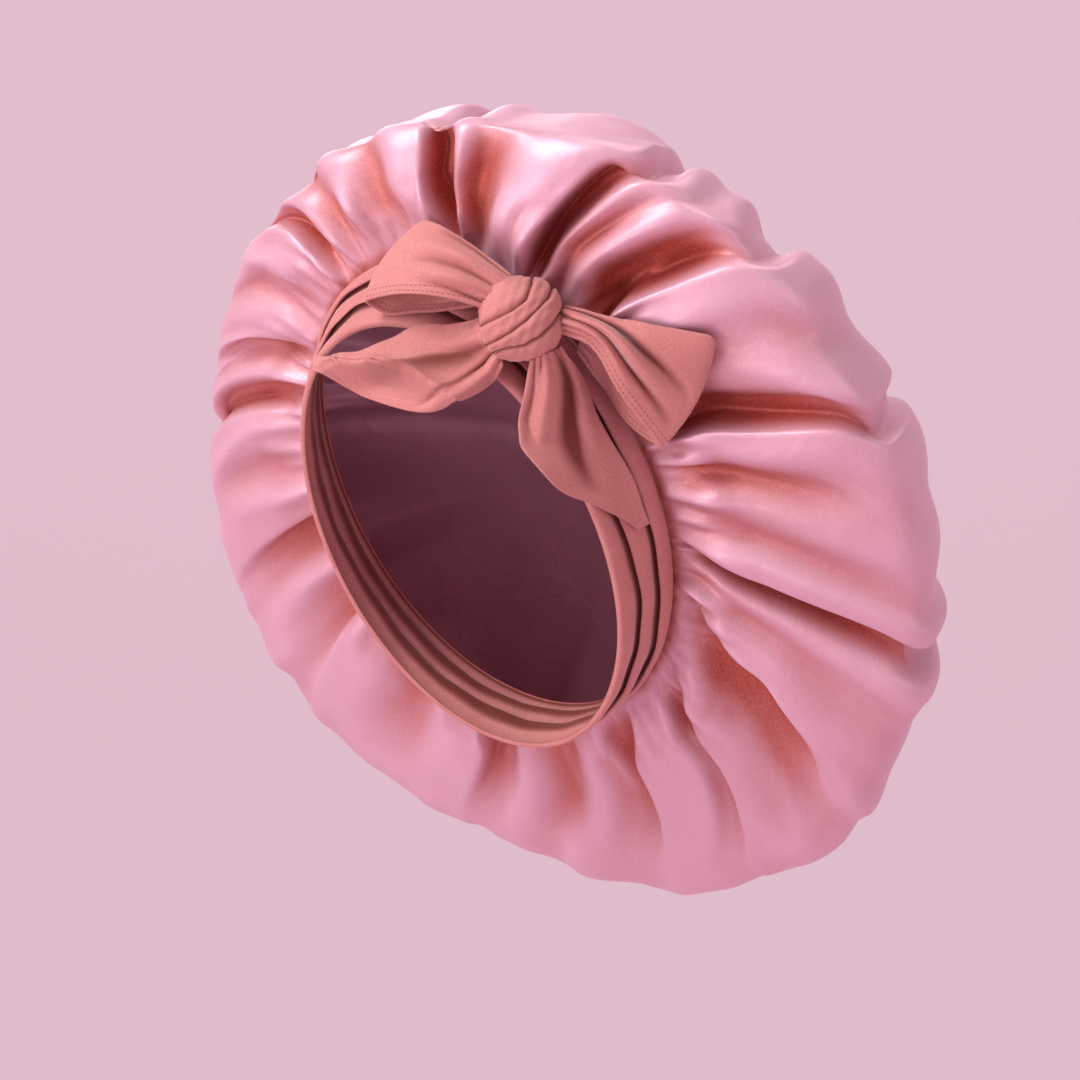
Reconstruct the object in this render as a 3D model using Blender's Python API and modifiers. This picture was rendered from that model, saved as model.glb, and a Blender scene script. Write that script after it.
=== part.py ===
"""Sleep bonnet: a very full satin crown gathered on a wide pleated jersey band that is tied in a bow.

The origin is the centre of the seam between crown and band. The face looks along -Y, the wearer's
left is +X and up is +Z. The seam lies in a plane that leans back, so the rear of the head is lower.
Every cloth piece is an open surface that a Solidify modifier makes into a wall.
"""
import bmesh
import bpy
import numpy as np
from mathutils import Vector
from mathutils.bvhtree import BVHTree

# Driving sizes in metres, angles in degrees
SEAM_HALF_WIDTH = 0.093
SEAM_HALF_LENGTH = 0.125
SEAM_LEAN = 30.0
CROWN_RADIUS = 0.212
CROWN_DROP = 0.062
CROWN_SETBACK = 0.026
CROWN_FRONT_BULGE = 0.085
CROWN_BACK_BULGE = 0.105
FOLD_DEPTH = 0.012
SATIN_WALL = 0.0015
BAND_WIDTH = 0.0375
BAND_TAPER = 0.0135
BAND_TAPER_LENGTHWISE = 0.0108
BAND_FRONT_DROP = 0.0074
PLEAT_LIFT = 0.0035
JERSEY_WALL = 0.0020
BOW_ANGLE = 52.0
BOW_SEAT = 0.25
BOW_TURN = 35.0
BOW_LIFT = 0.0225
KNOT_SIZE = 0.040
KNOT_DEPTH = 0.0365
KNOT_CREASE = 0.0016
KNOT_WRAP_GAP = 0.0006
LOOP_LENGTH = 0.080
TAIL_LENGTH = 0.090
CLEARANCE = 0.0003
DRAPE_GAP = 0.0015
SEAT_SHARE = 0.35

# How finely the cloth is divided
CROWN_STEPS_PER_FOLD = 2
BAND_COLUMNS = 60
STRIP_ROWS = 14
STRIP_COLUMNS = 8
KNOT_SEGMENTS = 24
KNOT_RINGS = 14

# Crown radius every 30 degrees round the seam, from the wearer's left over the top: shares of CROWN_RADIUS
RIM_SHARES = [0.98, 1.08, 1.19, 1.14, 1.00, 0.94, 0.98, 1.00, 0.92, 0.92, 0.92, 0.89]

# Latitude on the crown's ellipsoid from which the cloth is drawn in to the seam
START_LATITUDE = -58.0
# Share of the way from seam to back that this drawing in takes
DRAWN_IN = 0.42

# Stations along the cloth from the seam (0) to the back of the crown (1)
CROWN_STATIONS = [0.0, 0.018, 0.04, 0.07, 0.105, 0.145, 0.19, 0.24, 0.29, 0.34, 0.39,
                  0.45, 0.52, 0.60, 0.69, 0.79, 0.90]
MID_STATION = 0.10
RIM_STATION = 0.30
FOLDS_END_STATION = 0.75

# Crests and valleys in order round the seam, starting below the wearer's left ear.
# Angles in degrees at the seam, at MID_STATION and at RIM_STATION; heights are shares of FOLD_DEPTH.
FOLDS = [
    # seam, mid, rim, mid_height, rim_height
    (-83.0, -90.0, -102.0, 0.6, 0.0),
    (-72.0, -80.0, -88.0, -0.8, -0.3),
    (-57.0, -64.0, -78.0, 0.6, 0.0),
    (-48.0, -58.5, -70.0, -0.6, -0.4),
    (-38.0, -54.0, -66.0, 0.5, 0.0),
    (-26.0, -33.0, -48.0, -0.9, -0.3),
    (-22.0, -28.5, -38.0, 0.8, 0.0),
    (-19.0, -24.0, -28.0, 0.2, -0.2),
    (-16.0, -18.0, -16.0, 1.0, 0.2),
    (-12.5, -14.0, -12.5, -1.1, -0.9),
    (-10.5, -9.5, -9.0, 0.9, 0.2),
    (-6.0, -6.0, -6.0, 0.1, -0.3),
    (-2.0, 0.0, 2.0, 0.6, 0.0),
    (4.0, 5.0, 9.0, -0.3, -0.2),
    (8.0, 10.5, 16.0, 0.8, 0.1),
    (12.0, 15.0, 20.0, -0.8, -0.7),
    (18.0, 22.0, 25.0, 0.5, 0.0),
    (29.0, 30.0, 33.0, 0.2, -0.3),
    (33.0, 34.5, 39.0, 1.0, 0.2),
    (37.0, 40.0, 44.0, -1.0, -0.4),
    (45.0, 47.5, 48.5, 0.6, 0.0),
    (49.5, 50.5, 52.0, -0.3, -0.2),
    (52.5, 53.5, 55.0, 0.6, -0.1),
    (56.0, 57.5, 59.5, -1.1, -0.6),
    (59.0, 65.0, 66.0, 1.0, 0.2),
    (68.5, 73.0, 76.5, -0.3, -0.2),
    (71.5, 76.0, 79.5, 0.5, 0.0),
    (74.5, 82.0, 84.0, -1.1, -0.5),
    (80.0, 87.5, 88.5, 0.9, 0.1),
    (91.0, 93.5, 95.0, -0.5, -0.2),
    (98.0, 100.0, 101.5, 0.6, 0.0),
    (106.0, 107.5, 110.0, -0.3, -0.9),
    (112.0, 112.5, 114.0, 0.6, -0.1),
    (117.5, 118.5, 119.5, -0.8, -0.3),
    (126.0, 127.0, 128.0, 0.6, 0.0),
    (133.0, 134.0, 134.5, -0.5, -0.3),
    (140.0, 140.0, 140.5, 0.6, 0.0),
    (147.0, 147.0, 147.5, -0.7, -0.3),
    (154.0, 154.5, 153.5, 0.5, 0.0),
    (160.5, 161.0, 158.5, -0.7, -1.0),
    (168.0, 168.0, 167.0, 0.5, 0.0),
    (173.0, 173.0, 173.0, -0.3, -0.3),
    (179.0, 179.0, 179.0, 0.5, 0.0),
    (187.0, 187.0, 187.0, -0.6, -0.3),
    (196.0, 196.0, 196.0, 0.4, 0.0),
    (206.0, 206.0, 205.0, -0.5, -0.3),
    (215.0, 215.0, 213.0, 0.5, 0.0),
    (225.0, 224.0, 221.0, -0.5, -0.3),
    (235.0, 234.0, 230.0, 0.5, 0.0),
    (245.0, 243.0, 238.0, -0.6, -0.3),
    (255.0, 252.0, 246.0, 0.5, 0.0),
    (266.0, 261.0, 252.0, -0.6, -0.3),
]

# The band from the seam to its front edge: share of BAND_WIDTH, lift as a share of PLEAT_LIFT
BAND_PROFILE = [
    (0.00, 0.0),
    (0.16, 0.9),
    (0.32, 0.9),
    (0.38, 0.1),
    (0.50, 0.8),
    (0.64, 0.7),
    (0.70, 0.0),
    (0.84, 0.5),
    (1.00, 0.0),
]

# Loops and tails: two edges at each section, from the knot outward, as seen facing the bow.
# Right, up and forward of the knot's centre for each edge, as shares of LOOP_LENGTH or TAIL_LENGTH;
# arch is the swell of the middle of the section.
LOOP_LEFT = [
    # upper edge: right, up, forward; lower edge: right, up, forward; arch
    (-0.05, 0.24, 0.04, -0.21, 0.06, 0.06, 0.05),
    (-0.28, 0.42, -0.02, -0.44, 0.12, 0.08, 0.07),
    (-0.44, 0.52, -0.10, -0.68, 0.14, -0.02, 0.06),
    (-0.54, 0.56, -0.18, -0.87, 0.11, -0.22, 0.03),
    (-0.53, 0.55, -0.25, -0.86, 0.08, -0.31, -0.03),
    (-0.44, 0.51, -0.28, -0.72, 0.01, -0.32, -0.03),
    (-0.31, 0.45, -0.27, -0.56, 0.03, -0.26, -0.02),
    (-0.15, 0.32, -0.18, -0.27, 0.07, -0.14, 0.00),
]
LOOP_RIGHT = [
    (0.27, 0.07, 0.03, 0.25, -0.08, 0.05, 0.04),
    (0.49, 0.02, 0.12, 0.41, -0.17, 0.07, 0.06),
    (0.75, -0.04, 0.22, 0.56, -0.42, 0.02, 0.06),
    (1.05, -0.10, 0.26, 0.77, -0.69, -0.16, 0.03),
    (1.04, -0.12, 0.18, 0.77, -0.71, -0.24, -0.02),
    (0.80, -0.08, 0.15, 0.62, -0.60, -0.29, -0.02),
    (0.56, -0.03, 0.08, 0.46, -0.38, -0.28, -0.02),
    (0.36, 0.00, -0.02, 0.32, -0.18, -0.16, 0.00),
]
TAIL_LEFT = [
    (-0.17, 0.01, -0.02, -0.09, -0.23, 0.00, 0.04),
    (-0.37, -0.03, -0.16, -0.15, -0.33, -0.07, 0.05),
    (-0.52, -0.06, -0.23, -0.32, -0.44, -0.08, 0.05),
    (-0.64, -0.15, -0.26, -0.51, -0.47, -0.12, 0.04),
    (-0.78, -0.25, -0.36, -0.72, -0.42, -0.29, 0.02),
    (-0.90, -0.25, -0.50, -0.90, -0.35, -0.46, 0.01),
    (-0.97, -0.22, -0.70, -0.98, -0.25, -0.70, 0.00),
]
TAIL_RIGHT = [
    (0.20, -0.14, 0.03, 0.05, -0.21, 0.05, 0.03),
    (0.31, -0.30, -0.14, 0.01, -0.40, 0.00, 0.07),
    (0.39, -0.52, -0.24, -0.03, -0.57, -0.08, 0.07),
    (0.46, -0.68, -0.34, -0.01, -0.68, -0.09, 0.05),
    (0.53, -0.82, -0.43, 0.16, -0.86, -0.15, 0.03),
    (0.57, -0.93, -0.47, 0.33, -0.96, -0.26, 0.02),
    (0.60, -1.03, -0.51, 0.55, -1.06, -0.47, 0.00),
]

# Creases of the knot: place across the wraps and width, as shares of its radius
KNOT_CREASES = [(-0.52, 0.07), (-0.10, 0.06), (0.22, 0.05), (0.58, 0.08)]

# Colours, roughness and sheen: the satin is glossy, the brushed jersey is matt
SATIN_COLOUR = (0.68, 0.27, 0.38)
JERSEY_COLOUR = (0.55, 0.20, 0.20)
SATIN_ROUGHNESS = 0.35
JERSEY_ROUGHNESS = 0.85

LEAN = np.radians(SEAM_LEAN)
ACROSS = np.array([1.0, 0.0, 0.0])
UPWARD = np.array([0.0, -np.sin(LEAN), np.cos(LEAN)])
REARWARD = np.array([0.0, np.cos(LEAN), np.sin(LEAN)])


def smooth(x):
    """Ease from 0 to 1 with level ends."""
    x = np.clip(x, 0.0, 1.0)
    return x * x * (3.0 - 2.0 * x)


def through(p0, p1, p2, p3, f):
    """Cubic that passes through p1 and p2 and leans towards its neighbours."""
    return p1 + 0.5 * f * (p2 - p0 + f * (2 * p0 - 5 * p1 + 4 * p2 - p3 + f * (3 * (p1 - p2) + p3 - p0)))


def round_the_seam(shares, angle):
    """Value of an evenly spaced table at an angle, joined smoothly end to start."""
    values = np.asarray(shares)
    place = angle / (2 * np.pi) * len(values)
    index = np.floor(place).astype(int)
    p0, p1, p2, p3 = (values[(index + k) % len(values)] for k in (-1, 0, 1, 2))
    return through(p0, p1, p2, p3, place - index)


def along_table(rows, count):
    """Rows of a table read at evenly spaced places, smoothly between its own rows."""
    rows = np.asarray(rows, dtype=float)
    padded = np.vstack([2 * rows[0] - rows[1], rows, 2 * rows[-1] - rows[-2]])
    place = np.linspace(0.0, len(rows) - 1.0, count)
    index = np.minimum(place.astype(int), len(rows) - 2)
    f = (place - index)[:, None]
    return through(padded[index], padded[index + 1], padded[index + 2], padded[index + 3], f)


def to_world(x, y, depth):
    """World place of a point given across, up and rearward in the seam's plane."""
    return x[..., None] * ACROSS + y[..., None] * UPWARD + depth[..., None] * REARWARD


def crown_envelope(angle, station):
    """The crown without its folds: an ellipsoid that is drawn in to the seam's oval."""
    start = np.radians(START_LATITUDE)
    rim = CROWN_RADIUS * round_the_seam(RIM_SHARES, angle)

    def ellipsoid(latitude):
        bulge = np.where(latitude < 0, CROWN_FRONT_BULGE, CROWN_BACK_BULGE)
        radius = rim * np.cos(latitude)
        return np.stack([radius * np.cos(angle),
                         radius * np.sin(angle) - CROWN_DROP,
                         bulge * np.sin(latitude) + CROWN_SETBACK], axis=-1)

    seam = np.stack([SEAM_HALF_WIDTH * np.cos(angle), SEAM_HALF_LENGTH * np.sin(angle), 0 * angle], axis=-1)
    pull = smooth(1.0 - station / DRAWN_IN)[..., None]
    local = ellipsoid(start + (np.pi / 2 - start) * station) + pull * (seam - ellipsoid(start + 0 * station))
    return to_world(local[..., 0], local[..., 1], local[..., 2])


def fold_field(columns, stations):
    """Angle and height of the cloth at each column round the seam and station out from it."""
    table = np.array(FOLDS)
    turned = table[0] + [360.0, 360.0, 360.0, 0.0, 0.0]
    table = np.vstack([table, turned])
    index = np.minimum(columns.astype(int), len(FOLDS) - 1)
    f = columns - index
    ease = smooth(f)
    angle_seam, angle_mid, angle_rim = (table[index, k] * (1 - f) + table[index + 1, k] * f for k in range(3))
    high_mid, high_rim = (table[index, k] * (1 - ease) + table[index + 1, k] * ease for k in (3, 4))
    out = smooth(stations / MID_STATION)[:, None]
    on = smooth((stations - MID_STATION) / (RIM_STATION - MID_STATION))[:, None]
    angle = angle_seam * (1 - out) + (angle_mid * (1 - on) + angle_rim * on) * out
    fade = smooth((FOLDS_END_STATION - stations) / (FOLDS_END_STATION - RIM_STATION))[:, None]
    return np.radians(angle), FOLD_DEPTH * out * fade * (high_mid * (1 - on) + high_rim * on)


def crown_points():
    """Grid of the crown's outer surface: rows from the seam to the back, columns round it."""
    columns = np.arange(len(FOLDS) * CROWN_STEPS_PER_FOLD) / CROWN_STEPS_PER_FOLD
    stations = np.array(CROWN_STATIONS)
    angle, height = fold_field(columns, stations)
    station = np.broadcast_to(stations[:, None], angle.shape)
    step = 0.002
    here = crown_envelope(angle, station)
    round_it = crown_envelope(angle + step, station) - crown_envelope(angle - step, station)
    outward = crown_envelope(angle, station + step) - crown_envelope(angle, np.maximum(station - step, 0.0))
    normal = np.cross(outward, round_it)
    normal /= np.linalg.norm(normal, axis=-1, keepdims=True)
    return here + normal * height[..., None]


def crown_pole():
    """The point at the back where the crown's columns meet."""
    return crown_envelope(np.zeros(1), np.ones(1))[0]


def band_points():
    """Grid of the band's outer surface: rows from the seam to its front edge, columns round the head."""
    angle = np.linspace(0.0, 2 * np.pi, BAND_COLUMNS, endpoint=False)
    rows = []
    for share, lift in BAND_PROFILE:
        half_width = SEAM_HALF_WIDTH - BAND_TAPER * share + PLEAT_LIFT * lift
        half_length = SEAM_HALF_LENGTH - BAND_TAPER_LENGTHWISE * share + PLEAT_LIFT * lift
        height = half_length * np.sin(angle) - BAND_FRONT_DROP * share
        depth = -CLEARANCE - BAND_WIDTH * share + 0 * angle
        rows.append(to_world(half_width * np.cos(angle), height, depth))
    return np.array(rows)


def bow_frame():
    """Centre of the knot and the directions right, up and forward as one faces the bow."""
    angle = np.array(np.radians(BOW_ANGLE))
    turn = np.radians(BOW_TURN)
    forward = np.array([np.sin(turn), -np.cos(turn), 0.0])
    right = np.array([np.cos(turn), np.sin(turn), 0.0])
    up = np.array([0.0, 0.0, 1.0])
    taper = BAND_TAPER * BOW_SEAT
    seat = to_world((SEAM_HALF_WIDTH - taper) * np.cos(angle),
                    (SEAM_HALF_LENGTH - taper) * np.sin(angle), np.array(-BAND_WIDTH * BOW_SEAT))
    return seat + forward * BOW_LIFT, np.array([right, up, forward])


def clear_of_knot(local, ends):
    """Seat the rows that start or end at the knot on its surface, and move others out of it."""
    radii = np.array([KNOT_SIZE, KNOT_SIZE, KNOT_DEPTH]) / 2 + CLEARANCE
    seated = local / np.linalg.norm(local / (radii + SEAT_SHARE * JERSEY_WALL), axis=-1, keepdims=True)
    radii = radii + JERSEY_WALL / 2 + KNOT_WRAP_GAP
    reach = np.linalg.norm(local / radii, axis=-1, keepdims=True)
    moved = np.where(reach < 1.0, local / np.maximum(reach, 0.001), local)
    moved[ends] = seated[ends]
    return moved


def strip_points(sections, length, ends, obstacles):
    """Grid of a loop or tail from its table, kept clear of the knot and in front of what it lies on.

    A point that is behind or too near to a surface moves in front of it, and then away along its normal.
    """
    centre, axes = bow_frame()
    rows = along_table(sections, STRIP_ROWS) * length
    v = np.linspace(0.0, 1.0, STRIP_COLUMNS + 1)[:, None]
    local = np.array([row[0:3] * (1 - v) + row[3:6] * v for row in rows])
    local[:, :, 2] += rows[:, 6, None] * np.sin(np.pi * v[:, 0])
    world = centre + clear_of_knot(local, ends) @ axes
    forward = Vector(axes[2])
    far = 2 * CROWN_RADIUS
    room = DRAPE_GAP + JERSEY_WALL / 2
    for point in world.reshape(-1, 3):
        for tree in obstacles:
            hit, normal, face, distance = tree.ray_cast(Vector(point) + forward * far, -forward, 2 * far)
            if hit is not None and distance < far + room:
                point[:] = hit + forward * room
        for tree in obstacles:
            nearest, normal, face, distance = tree.find_nearest(Vector(point))
            if distance < room:
                point[:] = nearest + normal * room
    return world


def grid_mesh(name, grid, closed, pole=None):
    """Mesh of quads over a grid of points; closed joins the last column to the first, pole caps the last row."""
    bm = bmesh.new()
    rows = [[bm.verts.new(point) for point in line] for line in grid]
    count = len(rows[0])
    spans = count if closed else count - 1
    for lower, upper in zip(rows, rows[1:]):
        for k in range(spans):
            n = (k + 1) % count
            bm.faces.new((lower[k], upper[k], upper[n], lower[n]))
    if pole is not None:
        tip = bm.verts.new(pole)
        for k in range(spans):
            bm.faces.new((rows[-1][k], tip, rows[-1][(k + 1) % count]))
    mesh = bpy.data.meshes.new(name)
    bm.to_mesh(mesh)
    bm.free()
    mesh.shade_smooth()
    return mesh


def tree_of(mesh):
    """Search tree over a mesh's faces."""
    points = [vertex.co.copy() for vertex in mesh.vertices]
    return BVHTree.FromPolygons(points, [tuple(face.vertices) for face in mesh.polygons])


def material(name, colour, roughness, sheen):
    """Plain Principled cloth."""
    made = bpy.data.materials.new(name)
    made.use_nodes = True
    shader = made.node_tree.nodes["Principled BSDF"]
    shader.inputs["Base Color"].default_value = (*colour, 1.0)
    shader.inputs["Roughness"].default_value = roughness
    shader.inputs["Sheen Weight"].default_value = sheen
    return made


def place(name, mesh, surface, collection):
    """One named object for one sub-part, with its own material."""
    made = bpy.data.objects.new(name, mesh)
    made.data.materials.append(surface)
    collection.objects.link(made)
    return made


def thicken(piece, wall, offset):
    """Give an open surface its wall."""
    solidify = piece.modifiers.new("wall", "SOLIDIFY")
    solidify.thickness = wall
    solidify.offset = offset


def knot_mesh():
    """An ellipsoid, flattened front to back, with a crease between each two wraps of the tie."""
    bm = bmesh.new()
    bmesh.ops.create_uvsphere(bm, u_segments=KNOT_SEGMENTS, v_segments=KNOT_RINGS, radius=1.0)
    centre, axes = bow_frame()
    radii = np.array([KNOT_SIZE, KNOT_SIZE, KNOT_DEPTH]) / 2
    for vertex in bm.verts:
        unit = np.array(vertex.co)
        across = (unit[0] - unit[1]) / np.sqrt(2)
        dip = sum(np.exp(-((across - middle) / width) ** 2) for middle, width in KNOT_CREASES)
        vertex.co = centre + (unit * (radii - KNOT_CREASE * min(dip, 1.0))) @ axes
    mesh = bpy.data.meshes.new("bow_knot")
    bm.to_mesh(mesh)
    bm.free()
    mesh.shade_smooth()
    return mesh


def build():
    """Clear the scene and make the bonnet."""
    for old in list(bpy.data.objects):
        bpy.data.objects.remove(old, do_unlink=True)
    bonnet = bpy.data.collections.new("sleep_bonnet")
    bpy.context.scene.collection.children.link(bonnet)
    satin = material("satin", SATIN_COLOUR, SATIN_ROUGHNESS, 0.2)

    crown_mesh = grid_mesh("crown", crown_points(), closed=True, pole=crown_pole())
    crown = place("crown", crown_mesh, satin, bonnet)
    thicken(crown, SATIN_WALL, -1.0)

    band_mesh = grid_mesh("band", band_points()[::-1], closed=True)
    band = place("band", band_mesh, material("band_jersey", JERSEY_COLOUR, JERSEY_ROUGHNESS, 0.5), bonnet)
    thicken(band, JERSEY_WALL, -1.0)

    obstacles = [tree_of(crown_mesh), tree_of(band_mesh)]
    place("bow_knot", knot_mesh(), material("knot_jersey", JERSEY_COLOUR, JERSEY_ROUGHNESS, 0.5), bonnet)
    both, first = [0, -1], [0]
    strips = [("loop_left", LOOP_LEFT, LOOP_LENGTH, both), ("loop_right", LOOP_RIGHT, LOOP_LENGTH, both),
              ("tail_left", TAIL_LEFT, TAIL_LENGTH, first), ("tail_right", TAIL_RIGHT, TAIL_LENGTH, first)]
    for name, sections, length, ends in strips:
        points = strip_points(sections, length, ends, obstacles)
        strip = place(name, grid_mesh(name, points, closed=False),
                      material(name + "_jersey", JERSEY_COLOUR, JERSEY_ROUGHNESS, 0.5), bonnet)
        thicken(strip, JERSEY_WALL, 0.0)


build()
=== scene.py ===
# %% [markdown]
# A sleep bonnet, worn. A very full satin bag is gathered on to a wide jersey band, and the band's long
# ends are tied in a bow above the left temple. This file loads the solid model of the bonnet as a fixed
# frame and then makes every surface that shows, one cell at a time. All lengths are metres.

import bpy
import numpy as np
from mathutils import Matrix, Vector


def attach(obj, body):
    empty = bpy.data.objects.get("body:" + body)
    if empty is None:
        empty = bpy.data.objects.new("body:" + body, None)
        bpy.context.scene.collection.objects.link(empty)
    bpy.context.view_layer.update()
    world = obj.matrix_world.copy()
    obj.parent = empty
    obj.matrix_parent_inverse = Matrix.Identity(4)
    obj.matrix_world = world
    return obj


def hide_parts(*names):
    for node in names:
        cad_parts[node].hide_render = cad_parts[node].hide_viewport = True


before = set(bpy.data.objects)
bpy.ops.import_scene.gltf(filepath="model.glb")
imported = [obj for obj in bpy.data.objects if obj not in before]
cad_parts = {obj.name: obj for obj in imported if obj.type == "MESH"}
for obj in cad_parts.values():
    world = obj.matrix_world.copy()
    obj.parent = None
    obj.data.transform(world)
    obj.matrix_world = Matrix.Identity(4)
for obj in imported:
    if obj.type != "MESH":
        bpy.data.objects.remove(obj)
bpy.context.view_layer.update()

# %% [markdown]
# The camera comes first, because everything after it is compared with the photograph from the same place.
# The photograph was taken from in front and to the wearer's left, almost level, with a long lens. A point
# that projects to a known pixel fixes the aim: here it is the middle of the seam.

# %% Camera
IMAGE_SIZE = 1080
AZIMUTH, ELEVATION = np.radians(35.0), np.radians(2.0)
DISTANCE, LENS, SENSOR = 1.8, 125.0, 36.0
SEAM_CENTRE_PIXEL = np.array([495.0, 487.0])

LEVEL_BACK = np.array([np.sin(AZIMUTH), -np.cos(AZIMUTH), 0.0])
BACK = LEVEL_BACK * np.cos(ELEVATION) + np.array([0.0, 0.0, np.sin(ELEVATION)])
RIGHT = np.array([np.cos(AZIMUTH), np.sin(AZIMUTH), 0.0])
UP = np.cross(BACK, RIGHT)
pixels_per_radian = LENS / SENSOR * IMAGE_SIZE
aim_offset = (IMAGE_SIZE / 2 - SEAM_CENTRE_PIXEL) / pixels_per_radian * DISTANCE
aim = RIGHT * aim_offset[0] - UP * aim_offset[1]

camera_data = bpy.data.cameras.new("camera")
camera_data.lens, camera_data.sensor_width = LENS, SENSOR
camera = bpy.data.objects.new("camera", camera_data)
placed = np.column_stack([RIGHT, UP, BACK, aim + BACK * DISTANCE])
camera.matrix_world = Matrix(np.vstack([placed, [0, 0, 0, 1]]).tolist())
bpy.context.scene.collection.objects.link(camera)
bpy.context.scene.camera = camera
print("camera at", np.round(aim + BACK * DISTANCE, 3))

# %% [markdown]
# The stage is one pale pink sweep: a floor that curves up into a wall far behind, so no line shows. A sweep
# is a profile carried sideways, which is the simplest grid there is, so it also introduces the helpers that
# every later piece uses: two for the faces and the unrolled places of a grid, and one that makes the object.


# %% Grid to mesh
def grid_faces(rows, columns, closed):
    """Corner numbers of the quads between neighbouring points of a grid, joined end to start if closed."""
    index = np.arange(rows * columns).reshape(rows, columns)
    here = index if closed else index[:, :-1]
    there = np.roll(index, -1, axis=1) if closed else index[:, 1:]
    return np.stack([here[:-1], here[1:], there[1:], there[:-1]], axis=-1).reshape(-1, 4)


def grid_uv(rows, columns, closed):
    """Place of each quad's corners on the unrolled cloth: across 0 to 1 along a row, along 0 to 1 down."""
    spans = columns if closed else columns - 1
    across, along = np.meshgrid(np.arange(spans) / spans, np.arange(rows - 1) / (rows - 1))
    wide, high = 1 / spans, 1 / (rows - 1)
    corners = [(0, 0), (0, high), (wide, high), (wide, 0)]
    places = [np.stack([across + dx, along + dy], axis=-1) for dx, dy in corners]
    return np.stack(places, axis=2).reshape(-1, 2)


def piece_from_grid(name, grid, closed=False, tip=None, root=None, values=None):
    """Object of a grid of points, faces outwards, with its own UV map and any per-point values as attributes.

    A tip closes the last row of a closed grid with a fan of triangles, and a root closes its first row.
    """
    rows, columns = grid.shape[:2]
    points = grid.reshape(-1, 3)
    faces = grid_faces(rows, columns, closed).tolist()
    uv = grid_uv(rows, columns, closed)
    flat_values = {key: value.ravel() for key, value in (values or {}).items()}
    across = np.arange(columns) / columns
    for pole, row, turn_back in ((tip, rows - 1, 1), (root, 0, -1)):
        if pole is None:
            continue
        ring = row * columns + np.arange(columns)
        fan = np.stack([ring, np.full(columns, len(points)), np.roll(ring, -1)], axis=-1)[:, ::turn_back]
        faces += fan.tolist()
        points = np.vstack([points, pole])
        places = np.stack([across, across + 0.5 / columns, across + 1 / columns], axis=-1)[:, ::turn_back]
        fan_uv = np.stack([places, np.full_like(places, row / (rows - 1))], axis=-1)
        uv = np.vstack([uv, fan_uv.reshape(-1, 2)])
        flat_values = {key: np.append(flat, values[key][row].mean()) for key, flat in flat_values.items()}
    mesh = bpy.data.meshes.new(name)
    mesh.from_pydata(points.tolist(), [], faces)
    mesh.uv_layers.new(name="cloth").data.foreach_set("uv", uv.ravel())
    for key, flat in flat_values.items():
        mesh.attributes.new(key, "FLOAT", "POINT").data.foreach_set("value", flat.astype(np.float32))
    mesh.shade_smooth()
    made = bpy.data.objects.new(name, mesh)
    bpy.context.scene.collection.objects.link(made)
    print(name, len(points), "points,", len(faces), "faces")
    return made


# %% Materials by nodes
def srgb(red, green, blue):
    """Colour typed as on a screen, 0 to 255, turned into the linear light that shaders mix."""
    value = np.array([red, green, blue]) / 255
    linear = np.where(value <= 0.04045, value / 12.92, ((value + 0.055) / 1.055) ** 2.4)
    return (*linear.tolist(), 1.0)


def new_material(name, **sockets):
    """Principled material with the given numbers on the shader's own sockets."""
    made = bpy.data.materials.new(name)
    made.use_nodes = True
    shader = made.node_tree.nodes["Principled BSDF"]
    for key, value in sockets.items():
        shader.inputs[key.replace("_", " ")].default_value = value
    return made, made.node_tree, shader


def add_node(tree, kind, **settings):
    """New node with its properties set, and its inputs where the name is an input's."""
    node = tree.nodes.new(kind)
    for key, value in settings.items():
        if key in node.inputs:
            node.inputs[key].default_value = value
        else:
            setattr(node, key, value)
    return node


# %% Backdrop
FLOOR_HEIGHT = -0.75
WALL_DISTANCE, WALL_HEIGHT = 3.4, 6.0
SWEEP_RADIUS = 0.9
HALF_SPAN, FLOOR_FORWARD = 12.0, 30.0

turn = np.linspace(0, np.pi / 2, 24)
corner_away = WALL_DISTANCE - SWEEP_RADIUS + SWEEP_RADIUS * np.sin(turn)
corner_high = SWEEP_RADIUS - SWEEP_RADIUS * np.cos(turn)
sweep_away = np.concatenate([[-FLOOR_FORWARD], corner_away, [WALL_DISTANCE]])
sweep_high = np.concatenate([[0.0], corner_high, [WALL_HEIGHT]]) + FLOOR_HEIGHT
sideways = np.array([-HALF_SPAN, HALF_SPAN])
sweep_grid = (-LEVEL_BACK * sweep_away[:, None, None] + RIGHT * sideways[None, :, None]
              + np.array([0, 0, 1.0]) * sweep_high[:, None, None])
backdrop = piece_from_grid("backdrop", sweep_grid[:, ::-1])

# Most of the paper's colour is glow, so that it looks as even as in the photograph.
PAPER_COLOUR = np.array(srgb(224, 191, 205))
PAPER_MATT_SHARE, PAPER_GLOW = 0.30, 0.81
paper, _, paper_shader = new_material("paper", Roughness=1.0, Specular_IOR_Level=0.0)
paper_shader.inputs["Base Color"].default_value = (*(PAPER_COLOUR[:3] * PAPER_MATT_SHARE).tolist(), 1.0)
paper_shader.inputs["Emission Color"].default_value = PAPER_COLOUR.tolist()
paper_shader.inputs["Emission Strength"].default_value = PAPER_GLOW
backdrop.data.materials.append(paper)

# %% [markdown]
# The sweep ends somewhere, and from the side its end would show as a hard line. A low round wall of the same
# paper stands far outside, so every view ends in pale pink. It is the same kind of profile, turned round.

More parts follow.
